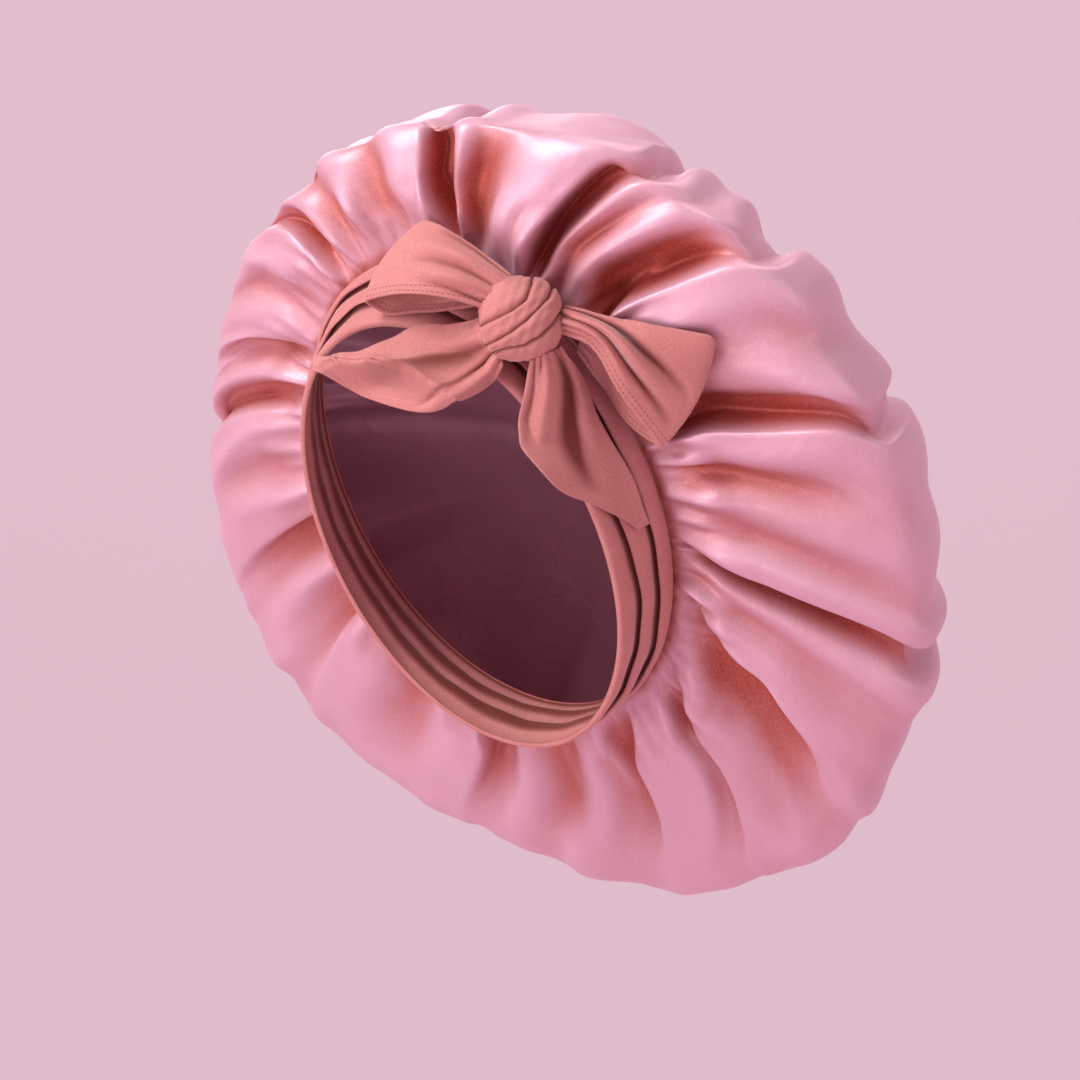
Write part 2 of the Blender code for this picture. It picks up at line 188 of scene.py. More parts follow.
# %% Round wall
ROUND_RADIUS, ROUND_CORNER, ROUND_TOP = 11.5, 2.0, 2.6
round_away = np.append(ROUND_RADIUS - ROUND_CORNER + ROUND_CORNER * np.sin(turn), ROUND_RADIUS)
round_high = np.append(FLOOR_HEIGHT + ROUND_CORNER - ROUND_CORNER * np.cos(turn), ROUND_TOP)
round_angle = np.linspace(0, 2 * np.pi, 96, endpoint=False)[None, :]
round_grid = np.stack([round_away[:, None] * np.cos(round_angle), round_away[:, None] * np.sin(round_angle),
                       round_high[:, None] + 0 * round_angle], axis=-1)
round_wall = piece_from_grid("round_wall", round_grid, closed=True)
round_wall.data.materials.append(paper)

# %% [markdown]
# The main light is a soft key from the upper left of the photograph. A weak fill comes from the right, one
# light each from above, from behind and from low on the left, and the rest from a pale pink surround. Satin
# shows its form only by its highlights, so the key is small enough to draw streaks along the crests and leave
# the valleys dark.


# %% Lights
def softbox(name, toward, distance, width, height, power):
    """Area light that faces the bonnet; toward is (right, up, forward) as seen by the camera."""
    data = bpy.data.lights.new(name, "AREA")
    data.shape, data.size, data.size_y = "RECTANGLE", width, height
    data.energy = power
    light = bpy.data.objects.new(name, data)
    direction = RIGHT * toward[0] + UP * toward[1] + BACK * toward[2]
    direction /= np.linalg.norm(direction)
    light.location = direction * distance
    light.rotation_euler = Vector(direction).to_track_quat("Z", "Y").to_euler()
    bpy.context.scene.collection.objects.link(light)


SURROUND_COLOUR, SURROUND_STRENGTH = (1.0, 0.94, 0.96, 1.0), 0.31
softbox("key", (-0.85, 0.85, 0.75), 1.6, 0.60, 0.80, 21.5)
softbox("fill", (0.95, 0.10, 0.85), 2.0, 0.9, 1.4, 5.0)
softbox("top", (0.25, 1.0, 0.10), 1.7, 1.2, 0.5, 8.0)
softbox("back", (-0.40, 0.80, -1.0), 1.7, 0.9, 0.7, 8.0)
softbox("low_left", (-1.0, -0.25, 0.70), 1.8, 0.5, 1.0, 10.0)
world = bpy.data.worlds.new("surround")
world.use_nodes = True
world.node_tree.nodes["Background"].inputs["Color"].default_value = SURROUND_COLOUR
world.node_tree.nodes["Background"].inputs["Strength"].default_value = SURROUND_STRENGTH
bpy.context.scene.world = world
bpy.context.scene.view_settings.view_transform = "Standard"
print("five softboxes and a pale surround")

# %% [markdown]
# The crown is worked out on its own cloth. One coordinate runs round the seam, the other from the seam (0)
# over the rim to the back of the bag (1). First comes the bag with no folds: an ellipsoid whose radius
# changes round the seam, drawn in to the seam's oval. A sphere with sculpted dents would be quicker, but the
# gathers all start at the seam, so a surface that knows where its seam is places them with a short table.

# %% The seam's plane and the bag
SEAM_HALF_WIDTH, SEAM_HALF_LENGTH = 0.093, 0.125
LEAN = np.radians(30.0)
ACROSS = np.array([1.0, 0.0, 0.0])
UPWARD = np.array([0.0, -np.sin(LEAN), np.cos(LEAN)])
REARWARD = np.array([0.0, np.cos(LEAN), np.sin(LEAN)])
CROWN_RADIUS, CROWN_DROP, CROWN_SETBACK = 0.212, 0.062, 0.026
FRONT_BULGE, BACK_BULGE = 0.085, 0.105
RIM_SHARES = np.array([0.98, 1.08, 1.19, 1.14, 1.00, 0.94, 0.98, 1.00, 0.92, 0.92, 0.92, 0.89])
START_LATITUDE = np.radians(-58.0)
DRAWN_IN = 0.42


def smooth(x):
    """Ease from 0 to 1 with level ends: three x squared minus two x cubed."""
    x = np.clip(x, 0.0, 1.0)
    return x * x * (3.0 - 2.0 * x)


def through(p0, p1, p2, p3, f):
    """Cubic that passes through p1 and p2 and leans towards its neighbours p0 and p3."""
    return p1 + 0.5 * f * (p2 - p0 + f * (2 * p0 - 5 * p1 + 4 * p2 - p3 + f * (3 * (p1 - p2) + p3 - p0)))


def round_the_seam(values, angle):
    """Value at an angle of an evenly spaced table that joins end to start."""
    place = angle / (2 * np.pi) * len(values)
    index = np.floor(place).astype(int)
    near = [values[(index + k) % len(values)] for k in (-1, 0, 1, 2)]
    return through(*near, place - index)


def seam_to_world(x, y, depth):
    """World place of points given across, up and rearward in the seam's plane."""
    return x[..., None] * ACROSS + y[..., None] * UPWARD + depth[..., None] * REARWARD


def bag(angle, station):
    """Ellipsoid point at a latitude that runs with the station, pulled to the seam's oval near the seam."""
    rim = CROWN_RADIUS * round_the_seam(RIM_SHARES, angle)

    def ellipsoid(latitude):
        bulge = np.where(latitude < 0, FRONT_BULGE, BACK_BULGE)
        radius = rim * np.cos(latitude)
        return np.stack([radius * np.cos(angle), radius * np.sin(angle) - CROWN_DROP,
                         bulge * np.sin(latitude) + CROWN_SETBACK], axis=-1)

    seam = np.stack([SEAM_HALF_WIDTH * np.cos(angle), SEAM_HALF_LENGTH * np.sin(angle), 0 * angle], axis=-1)
    pull = smooth(1.0 - station / DRAWN_IN)[..., None]
    local = ellipsoid(START_LATITUDE + (np.pi / 2 - START_LATITUDE) * station)
    local = local + pull * (seam - ellipsoid(START_LATITUDE + 0 * station))
    return seam_to_world(local[..., 0], local[..., 1], local[..., 2])


def bag_normals(angle, station, step=0.002):
    """Outward unit normals of the bag: the way out along the cloth crossed with the way round it."""
    around = bag(angle + step, station) - bag(angle - step, station)
    along = bag(angle, station + step) - bag(angle, np.maximum(station - step, 0.0))
    n = np.cross(along, around)
    return n / np.linalg.norm(n, axis=-1, keepdims=True)


def normals(grid):
    """Outward unit normals of a closed grid: the way along its columns crossed with the way round."""
    along = np.gradient(grid, axis=0)
    around = np.roll(grid, -1, axis=1) - np.roll(grid, 1, axis=1)
    n = np.cross(along, around)
    return n / np.maximum(np.linalg.norm(n, axis=-1, keepdims=True), 1e-9)


# %% [markdown]
# The folds come next. Each row of the table is one crest or valley, in order round the head, with its
# angle at the seam, a little way out and at the rim, because folds fan out and bend over. Gathered satin
# doesn't wave evenly: many crests lean over and hang above the valley beside them, and there the light
# stops at a crisp line. A crest that leans gets one more row, a lip, which is still high close to the valley,
# and the valley gets a floor, so that it doesn't close to a slot.

# %% Folds of the crown
FOLD_DEPTH = 0.0135
RISE_STATION, MID_STATION, RIM_STATION, FOLDS_END_STATION = 0.075, 0.10, 0.30, 0.88
BACK_STATION, BACK_EASE, BACK_SHARE = 0.37, 0.14, 0.34
FOLDS = [
    # seam, mid, rim, mid_height, rim_height, lean: 1 to the next row, -1 to the row before
    (-83.0, -90.0, -102.0, 0.5, 0.0, 0),
    (-72.0, -80.0, -88.0, -0.4, -0.1, 0),
    (-57.0, -64.0, -78.0, 0.6, 0.0, -1),
    (-48.0, -58.5, -70.0, -0.35, -0.1, 0),
    (-38.0, -54.0, -66.0, 0.6, 0.0, -1),
    (-26.0, -33.0, -48.0, -0.6, -0.1, 0),
    (-22.0, -28.5, -38.0, 0.8, 0.0, -1),
    (-19.0, -24.0, -28.0, 0.3, -0.1, 0),
    (-16.5, -19.0, -18.0, 0.7, 0.1, 0),
    (-12.5, -14.0, -12.5, -1.2, -1.1, 0),
    (-10.5, -9.5, -9.0, 0.9, 0.2, -1),
    (-6.0, -6.0, -6.0, 0.2, -0.3, 0),
    (-2.0, 0.0, 2.0, 0.6, 0.0, 0),
    (4.0, 5.0, 9.0, -0.1, -0.2, 0),
    (8.0, 10.5, 16.0, 0.8, 0.1, 1),
    (12.0, 15.0, 20.0, -0.7, -0.7, 0),
    (18.0, 22.0, 25.0, 0.4, 0.0, 0),
    (29.0, 30.0, 33.0, 0.4, -0.2, 0),
    (33.0, 34.5, 39.0, 1.0, 0.2, 1),
    (37.0, 40.0, 44.0, -1.1, -0.4, 0),
    (45.0, 48.0, 50.0, 0.7, 0.0, 0),
    (49.0, 51.0, 53.0, -0.1, -0.2, 0),
    (52.0, 53.5, 56.0, 0.5, -0.1, 0),
    (56.0, 57.5, 59.5, -1.1, -0.7, 0),
    (59.0, 63.0, 64.0, 1.0, 0.2, -1),
    (68.5, 73.0, 76.5, -0.2, -0.2, 0),
    (71.5, 76.0, 79.5, 0.5, 0.0, 0),
    (74.5, 82.0, 84.0, -0.9, -0.35, 0),
    (80.0, 87.5, 88.5, 0.9, 0.1, -1),
    (91.0, 93.5, 95.0, 0.1, -0.1, 0),
    (98.0, 100.0, 101.5, 0.6, 0.1, 0),
    (106.0, 107.5, 110.0, 0.1, -0.9, 0),
    (112.0, 112.5, 114.0, 0.6, -0.1, 0),
    (117.5, 118.5, 119.5, -0.5, -0.1, 0),
    (125.0, 126.0, 128.0, 0.5, 0.0, -1),
    (133.0, 134.0, 134.5, -0.1, -0.1, 0),
    (140.0, 140.0, 140.5, 0.45, 0.0, 1),
    (147.0, 147.0, 147.5, -0.5, -0.15, 0),
    (154.0, 154.5, 153.5, 0.4, 0.0, 0),
    (160.5, 161.0, 158.5, -0.5, -0.9, 0),
    (168.0, 168.0, 167.0, 0.55, 0.0, -1),
    (173.0, 173.0, 173.0, 0.1, -0.1, 0),
    (180.0, 180.0, 180.0, 0.45, 0.0, 1),
    (187.0, 187.0, 187.0, -0.45, -0.15, 0),
    (196.0, 196.0, 196.0, 0.4, 0.0, 0),
    (206.0, 206.0, 205.0, -0.2, -0.1, 0),
    (215.0, 215.0, 213.0, 0.5, 0.0, -1),
    (225.0, 224.0, 221.0, -0.3, -0.1, 0),
    (235.0, 234.0, 230.0, 0.5, 0.0, 1),
    (245.0, 243.0, 238.0, -0.5, -0.2, 0),
    (255.0, 252.0, 246.0, 0.5, 0.0, 0),
    (266.0, 261.0, 252.0, -0.4, -0.2, 0),
]
LIP_REACHES, LIP_HEIGHT = (0.60, 0.85, 0.62), 0.94
FLOOR_REACHES, FLOOR_RISE = (0.42, 0.42, 0.42), 0.22
STEPS_PER_ROW = 6
VALLEY_SHARPNESS = 1.2


def with_lips(table):
    """Give each leaning crest a lip, high and close to its valley, and the valley a floor beyond."""
    def between(first, second, reaches, rise):
        angles = [a + (b - a) * reach for a, b, reach in zip(first[:3], second[:3], reaches)]
        return angles + [a + (b - a) * rise for a, b in zip(first[3:5], second[3:5])]

    turned_back = [[k - 360.0 for k in table[-1][:3]] + list(table[-1][3:])]
    turned_on = [[k + 360.0 for k in table[0][:3]] + list(table[0][3:])]
    rows = []
    for before, row, after in zip(turned_back + table[:-1], table, table[1:] + turned_on):
        if row[5] < 0:
            rows.append(between(row, before, LIP_REACHES, 1 - LIP_HEIGHT))
        if after[5] < 0 and before[5] <= 0:
            rows.append(between(row, before, FLOOR_REACHES, FLOOR_RISE))
        rows.append(row[:5])
        if before[5] > 0 and after[5] >= 0:
            rows.append(between(row, after, FLOOR_REACHES, FLOOR_RISE))
        if row[5] > 0:
            rows.append(between(row, after, LIP_REACHES, 1 - LIP_HEIGHT))
    return np.array(rows)


def fold_field(table, columns, stations):
    """Angle and height at each column and station: straight between table rows in angle, eased in height.

    Past the rim a share of the middle height comes back, so that soft folds run on over the back.
    """
    table = np.vstack([table, table[0] + [360.0, 360.0, 360.0, 0.0, 0.0]])
    index = np.minimum(columns.astype(int), len(table) - 2)
    f = columns - index
    seam, mid, rim = (table[index, k] * (1 - f) + table[index + 1, k] * f for k in range(3))

    def height(k):
        first, second = table[index, k], table[index + 1, k]
        high, low = np.maximum(first, second), np.minimum(first, second)
        from_crest = np.where(first >= second, f, 1 - f)
        return high + (low - high) * smooth(from_crest) ** VALLEY_SHARPNESS

    out = smooth(stations / MID_STATION)[:, None]
    on = smooth((stations - MID_STATION) / (RIM_STATION - MID_STATION))[:, None]
    angle = np.radians(seam * (1 - out) + (mid * (1 - on) + rim * on) * out)
    fade = smooth((FOLDS_END_STATION - stations) / (FOLDS_END_STATION - RIM_STATION))[:, None]
    rise = smooth(stations / RISE_STATION)[:, None]
    behind = BACK_SHARE * smooth((stations - BACK_STATION) / BACK_EASE)[:, None]
    return angle, FOLD_DEPTH * rise * fade * (height(3) * (1 - on + behind) + height(4) * on)


print(len(with_lips(FOLDS)), "crests, lips and valleys")

# %% [markdown]
# Between the big folds lie small ones. The gathering thread makes short puckers that die out a few centimetres
# from the seam, and longer creases run on over the bag. Both are the same thing: a ridge with a start, an end,
# a height and a width. A few are listed one by one, the rest come from a seeded draw.

# %% Creases
PLACED_CREASES = [
    # start angle, start station, end angle, end station, height in mm, width in degrees
    (35.5, 0.02, 42.0, 0.15, 4.5, 1.1),
    (41.0, 0.01, 47.0, 0.10, 3.0, 1.0),
    (6.5, 0.00, 8.5, 0.08, 5.0, 1.3),
    (-1.5, 0.00, 1.5, 0.09, 5.0, 1.4),
    (-6.0, 0.00, -5.0, 0.07, 4.0, 1.2),
    (60.5, 0.00, 64.0, 0.10, 3.5, 0.9),
    (63.5, 0.00, 68.0, 0.08, 3.5, 0.9),
    (66.5, 0.00, 71.0, 0.10, 3.0, 0.8),
    (24.0, 0.05, 27.0, 0.45, 2.5, 3.0),
    (-21.0, 0.14, -18.0, 0.50, 3.0, 2.6),
    (-33.0, 0.10, -47.0, 0.45, 3.0, 2.2),
    (-43.0, 0.05, -60.0, 0.35, 3.0, 2.0),
    (98.0, 0.05, 94.0, 0.40, -2.5, 3.0),
    (131.0, 0.04, 124.0, 0.30, 3.0, 2.0),
    (150.0, 0.04, 145.0, 0.28, 2.5, 2.0),
    (163.0, 0.05, 170.0, 0.32, 3.0, 2.5),
]


def drawn_creases(count, seed, start, length, height, width, slant):
    """Table of seeded creases, evenly spread round the seam and shaken; each range is (least, most)."""
    draw = np.random.default_rng(seed)
    angle = np.arange(count) * 360.0 / count + draw.normal(0, 120.0 / count, count)
    begin = draw.uniform(*start, count)
    end = begin + draw.uniform(*length, count)
    turn_to = angle + draw.uniform(-slant, slant, count)
    high = draw.uniform(*height, count)
    return np.stack([angle, begin, turn_to, end, high, draw.uniform(*width, count)], axis=-1)


def crease_field(table, angle, station):
    """Sum over the creases of height times a bell across, wider further out, times a half sine along."""
    total = np.zeros_like(station)
    for angle_0, station_0, angle_1, station_1, high, wide in table:
        along = np.clip((station - station_0) / (station_1 - station_0), 0, 1)
        middle = np.radians(angle_0 + (angle_1 - angle_0) * along)
        away = (angle - middle + np.pi) % (2 * np.pi) - np.pi
        spread = np.radians(wide) * (0.6 + 0.8 * along)
        total += high / 1000 * np.exp(-(away / spread) ** 2) * np.sin(np.pi * along) ** 0.8
    return total


PUCKERS = drawn_creases(count=104, seed=7, start=(-0.03, 0.0), length=(0.05, 0.17), height=(2.0, 5.6),
                        width=(0.7, 1.4), slant=2.5)
LONG_CREASES = drawn_creases(count=90, seed=11, start=(0.02, 0.34), length=(0.16, 0.42), height=(-2.4, 3.0),
                             width=(1.2, 3.6), slant=8.0)
BACK_DENTS = drawn_creases(count=56, seed=5, start=(0.26, 0.52), length=(0.28, 0.44), height=(-4.0, 4.5),
                           width=(2.5, 8.0), slant=22.0)
print(len(PUCKERS) + len(LONG_CREASES) + len(BACK_DENTS) + len(PLACED_CREASES), "creases")

# %% The crown
CROWN_ROWS, LAST_STATION, ROW_CROWDING = 102, 0.985, 1.35
SATIN_WALL = 0.0007
SEAM_FADE, POLE_FADE = 0.012, 0.30


def evened(grid):
    """Half of each point and a quarter of each neighbour, first round the rows, then along the columns."""
    grid = grid / 2 + (np.roll(grid, 1, axis=1) + np.roll(grid, -1, axis=1)) / 4
    grid[1:-1] = grid[1:-1] / 2 + (grid[:-2] + grid[2:]) / 4
    return grid


fold_rows = with_lips(FOLDS)
crown_columns = np.arange(len(fold_rows) * STEPS_PER_ROW) / STEPS_PER_ROW
crown_stations = LAST_STATION * np.linspace(0, 1, CROWN_ROWS) ** ROW_CROWDING
crown_angle, relief = fold_field(fold_rows, crown_columns, crown_stations)
crown_station = np.broadcast_to(crown_stations[:, None], crown_angle.shape)
for crease_table in (PLACED_CREASES, PUCKERS, LONG_CREASES, BACK_DENTS):
    relief = relief + crease_field(crease_table, crown_angle, crown_station)
relief *= smooth(crown_station / SEAM_FADE) * smooth((1 - crown_station) / POLE_FADE)
bag_points, bag_out = bag(crown_angle, crown_station), bag_normals(crown_angle, crown_station)
crown_grid = evened(bag_points + bag_out * relief[..., None])
print("relief from", round(relief.min() * 1000, 1), "to", round(relief.max() * 1000, 1), "mm")


# %% Painted shade in the folds
SHADE_DEPTH, SHADE_REACH, SHADE_STEP = 0.0155, 14, 2
SHADE_FADE, SHADE_END = 0.32, 1.7
SEAM_SHADE, SEAM_SHADE_REACH = 0.8, 0.022


def sunk_below(height, reach, step):
    """How far each point lies below the highest one near it in its row, evened out a little."""
    shifts = range(-reach, reach + 1, step)
    highest = np.max([np.roll(height, k, axis=1) for k in shifts], axis=0)
    highest = np.mean([np.roll(highest, k, axis=1) for k in shifts], axis=0)
    return np.maximum(highest - height, 0.0)


# Painted shade: the colour darkens towards brownish red the further a point lies below the crests near it, and
# a ring along the seam is painted dark as well.
painted_shade = np.clip(sunk_below(relief, SHADE_REACH, SHADE_STEP) / SHADE_DEPTH, 0, 1)
painted_shade *= smooth(SHADE_END - crown_station / SHADE_FADE)
painted_shade = np.maximum(painted_shade, SEAM_SHADE * smooth(1 - crown_station / SEAM_SHADE_REACH))
crown_tip = bag(np.zeros(1), np.ones(1))
crown = piece_from_grid("satin_crown", crown_grid, closed=True, tip=crown_tip, values={"painted_shade": painted_shade})

# %% [markdown]
# Satin is a smooth glossy weave: threads run one way on the surface, so the highlight is stretched across them.
# The shader's own roughness, sheen and anisotropy do that. Light that bounces between the walls of a pink fold
# comes out brownish red, and that is painted into the colour: painted shade, darker and redder the further down
# a point lies in its fold.

# %% Satin
satin, satin_tree, satin_shader = new_material(
    "pink_satin", Metallic=0.36, Anisotropic=0.35, Sheen_Weight=0.28, Sheen_Roughness=0.32,
    Specular_IOR_Level=0.24)
satin_shader.inputs["Sheen Tint"].default_value = srgb(252, 216, 240)
satin_shade_value = add_node(satin_tree, "ShaderNodeAttribute", attribute_name="painted_shade")
# The ramp runs from the satin's own pink at 0 through painted shade to brownish red at 1.
satin_colour_and_shade = add_node(satin_tree, "ShaderNodeValToRGB")
satin_colour_and_shade.color_ramp.elements[0].color = srgb(223, 173, 190)
satin_colour_and_shade.color_ramp.elements[1].color = srgb(176, 82, 66)
satin_colour_and_shade.color_ramp.elements.new(0.35).color = srgb(211, 151, 160)
satin_colour_and_shade.color_ramp.elements.new(0.70).color = srgb(192, 112, 106)
satin_tree.links.new(satin_shade_value.outputs["Fac"], satin_colour_and_shade.inputs["Fac"])

# Frost is a speckle as fine as the weave, glint its brighter threads, and crinkle the soft dents between folds.
satin_place = add_node(satin_tree, "ShaderNodeTexCoord")
frost = add_node(satin_tree, "ShaderNodeTexNoise", Scale=1400.0, Detail=2.0)
satin_tree.links.new(satin_place.outputs["Object"], frost.inputs["Vector"])
glint = add_node(satin_tree, "ShaderNodeTexNoise", Scale=800.0, Detail=2.0)
satin_tree.links.new(satin_place.outputs["Object"], glint.inputs["Vector"])
glint_share = add_node(satin_tree, "ShaderNodeMapRange")
glint_share.inputs["From Min"].default_value, glint_share.inputs["From Max"].default_value = 0.45, 0.75
glint_share.inputs["To Max"].default_value = 0.40
satin_tree.links.new(glint.outputs["Fac"], glint_share.inputs["Value"])
glinting = add_node(satin_tree, "ShaderNodeMix", data_type="RGBA", blend_type="SCREEN")
glinting.inputs["B"].default_value = srgb(150, 110, 130)
satin_tree.links.new(glint_share.outputs["Result"], glinting.inputs["Factor"])
satin_tree.links.new(satin_colour_and_shade.outputs["Color"], glinting.inputs["A"])
satin_tree.links.new(glinting.outputs["Result"], satin_shader.inputs["Base Color"])
frost_range = add_node(satin_tree, "ShaderNodeMapRange")
frost_range.inputs["To Min"].default_value, frost_range.inputs["To Max"].default_value = 0.37, 0.58
satin_tree.links.new(frost.outputs["Fac"], frost_range.inputs["Value"])
satin_tree.links.new(frost_range.outputs["Result"], satin_shader.inputs["Roughness"])
crinkle = add_node(satin_tree, "ShaderNodeTexNoise", Scale=34.0, Detail=3.0, Roughness=0.45, Distortion=0.4)
satin_tree.links.new(satin_place.outputs["Object"], crinkle.inputs["Vector"])
bump = add_node(satin_tree, "ShaderNodeBump", Strength=0.55, Distance=0.0030)
satin_tree.links.new(crinkle.outputs["Fac"], bump.inputs["Height"])
weave = add_node(satin_tree, "ShaderNodeBump", Strength=0.22, Distance=0.0002)
satin_tree.links.new(frost.outputs["Fac"], weave.inputs["Height"])
satin_tree.links.new(bump.outputs["Normal"], weave.inputs["Normal"])
satin_tree.links.new(weave.outputs["Normal"], satin_shader.inputs["Normal"])


# %% A wall for every cloth, and what it stands for
def finish_cloth(piece, node, surface, wall, offset=-1.0):
    """Give an open surface its colour and a thin wall, and let it stand for its solid node."""
    piece.data.materials.append(surface)
    solidify = piece.modifiers.new("wall", "SOLIDIFY")
    solidify.thickness, solidify.offset = wall, offset
    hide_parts(node)
    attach(piece, "root")


def cloth_area(grid, closed=False):
    """Area of a grid of points: half the length of the cross product of each quad's diagonals."""
    here, there = (grid, np.roll(grid, -1, axis=1)) if closed else (grid[:, :-1], grid[:, 1:])
    return 0.5 * np.linalg.norm(np.cross(there[1:] - here[:-1], here[1:] - there[:-1]), axis=-1).sum()


finish_cloth(crown, "crown", satin, SATIN_WALL)

# %% [markdown]
# The band is one wide strip of jersey round the head, laid in three lengthwise pleats like roof tiles. Each
# pleat climbs to a round edge and folds back under it. One section through the pleats is a curve of share of
# the width and lift, and it is carried round the seam's oval.

# %% The band
BAND_WIDTH, CLEARANCE = 0.0375, 0.0003
BAND_TAPER, BAND_TAPER_LENGTHWISE, BAND_FRONT_DROP = 0.0135, 0.0108, 0.0074
PLEATS, PLEAT_LIFT = 3, 0.0046
JERSEY_WALL, BAND_WALL = 0.0014, 0.0007
BAND_POINTS_ROUND, BAND_POINTS_ACROSS = 360, 120
BAND_SHADE_LIFT, BAND_SHADE_SPAN = 0.52, 0.40
PLEAT = [
    # place along the pleat, lift; the cloth climbs to a round edge and folds back under it
    (-0.10, 0.10), (0.08, 0.28), (0.35, 0.66), (0.65, 0.92), (0.85, 1.00), (0.97, 0.92), (1.00, 0.74),
    (0.94, 0.58), (0.78, 0.44), (0.64, 0.32), (0.62, 0.20), (0.72, 0.10),
]
SHARE_AT_EDGES = (0.0, 0.30, 0.67, 1.0)


def along_table(rows, count):
    """Rows of a table read at evenly spaced places, smoothly between its own rows."""
    rows = np.asarray(rows, dtype=float)
    padded = np.vstack([2 * rows[0] - rows[1], rows, 2 * rows[-1] - rows[-2]])
    at = np.linspace(0.0, len(rows) - 1.0, count)
    index = np.minimum(at.astype(int), len(rows) - 2)
    return through(*(padded[index + k] for k in range(4)), (at - index)[:, None])


def band_profile(count):
    """Share of the band's width and lift along the whole section: the pleat's curve, once for each pleat."""
    whole = [(pleat + along, lift) for pleat in range(PLEATS) for along, lift in PLEAT]
    whole = [(0.0, 0.0)] + whole[1:-5] + [(PLEATS, 0.62), (PLEATS - 0.04, 0.30)]
    share, lift = along_table(whole, count).T
    return np.interp(share, np.arange(PLEATS + 1), SHARE_AT_EDGES), lift


def band_surface(share, lift, angle):
    """The seam's oval, narrowed towards the face, lifted by the pleats and pushed forward by its share."""
    wander = (0.030 * np.sin(2 * angle + 0.6) + 0.015 * np.sin(5 * angle)
              + 0.02 * np.sin(3 * angle + 9 * share))
    share = share + wander * np.sin(np.pi * np.clip(share, 0, 1))
    soft = 0.10 * np.sin(9 * angle + 7 * share) + 0.06 * np.sin(23 * angle - 5 * share)
    lift = PLEAT_LIFT * (lift + soft * np.sin(np.pi * np.clip(share, 0, 1)))
    half_width = SEAM_HALF_WIDTH - BAND_TAPER * share + lift
    half_length = SEAM_HALF_LENGTH - BAND_TAPER_LENGTHWISE * share + lift
    height = half_length * np.sin(angle) - BAND_FRONT_DROP * share
    return seam_to_world(half_width * np.cos(angle), height, -CLEARANCE - BAND_WIDTH * share + 0 * angle)


band_angle = np.linspace(0, 2 * np.pi, BAND_POINTS_ROUND, endpoint=False)[None, :]
band_share, band_lift = (values[::-1, None] for values in band_profile(BAND_POINTS_ACROSS))
band_grid = band_surface(band_share, band_lift, band_angle)
# Painted shade: the band is painted darker where its pleats lie low, under the edge that folds back above them.
band_painted_shade = smooth((BAND_SHADE_LIFT - band_lift) / BAND_SHADE_SPAN) + 0 * band_angle
band = piece_from_grid("jersey_band", band_grid, closed=True, values={"painted_shade": band_painted_shade})

# %% [markdown]
# Brushed jersey is matt and slightly furry. It needs a soft sheen at grazing angles, a mottled colour as fine
# as its knit and a small bump of the same scale. Under a pleat, in a crease and between the knot's wraps its
# colour is painted darker and browner: painted shade. The loops' hems show two rows of stitches at fixed
# distances from an edge: the pieces carry that distance, and the length run along the edge, as attributes.

# %% Jersey
STITCH_ROWS = (0.0018, 0.0044)
STITCH_LENGTH, STITCH_SHARE, STITCH_WIDTH = 0.0024, 0.6, 0.00022


def math_node(tree, operation, first, second=None):
    """One step of arithmetic on sockets or numbers."""
    node = add_node(tree, "ShaderNodeMath", operation=operation)
    for socket, value in zip(node.inputs, (first, second)):
        if isinstance(value, (int, float)):
            socket.default_value = value
        elif value is not None:
            tree.links.new(value, socket)
    return node.outputs["Value"]


def stitch_mask(tree):
    """1 on a stitch: near one of the two rows, and in the first three fifths of each stitch length."""
    from_edge = add_node(tree, "ShaderNodeAttribute", attribute_name="from_hem").outputs["Fac"]
    run = add_node(tree, "ShaderNodeAttribute", attribute_name="run").outputs["Fac"]
    near = [math_node(tree, "COMPARE", from_edge, row) for row in STITCH_ROWS]
    for value in near:
        value.node.inputs[2].default_value = STITCH_WIDTH
    either = math_node(tree, "MAXIMUM", near[0], near[1])
    place_in_stitch = math_node(tree, "FRACT", math_node(tree, "DIVIDE", run, STITCH_LENGTH))
    in_stitch = math_node(tree, "LESS_THAN", place_in_stitch, STITCH_SHARE)
    return math_node(tree, "MULTIPLY", either, in_stitch)


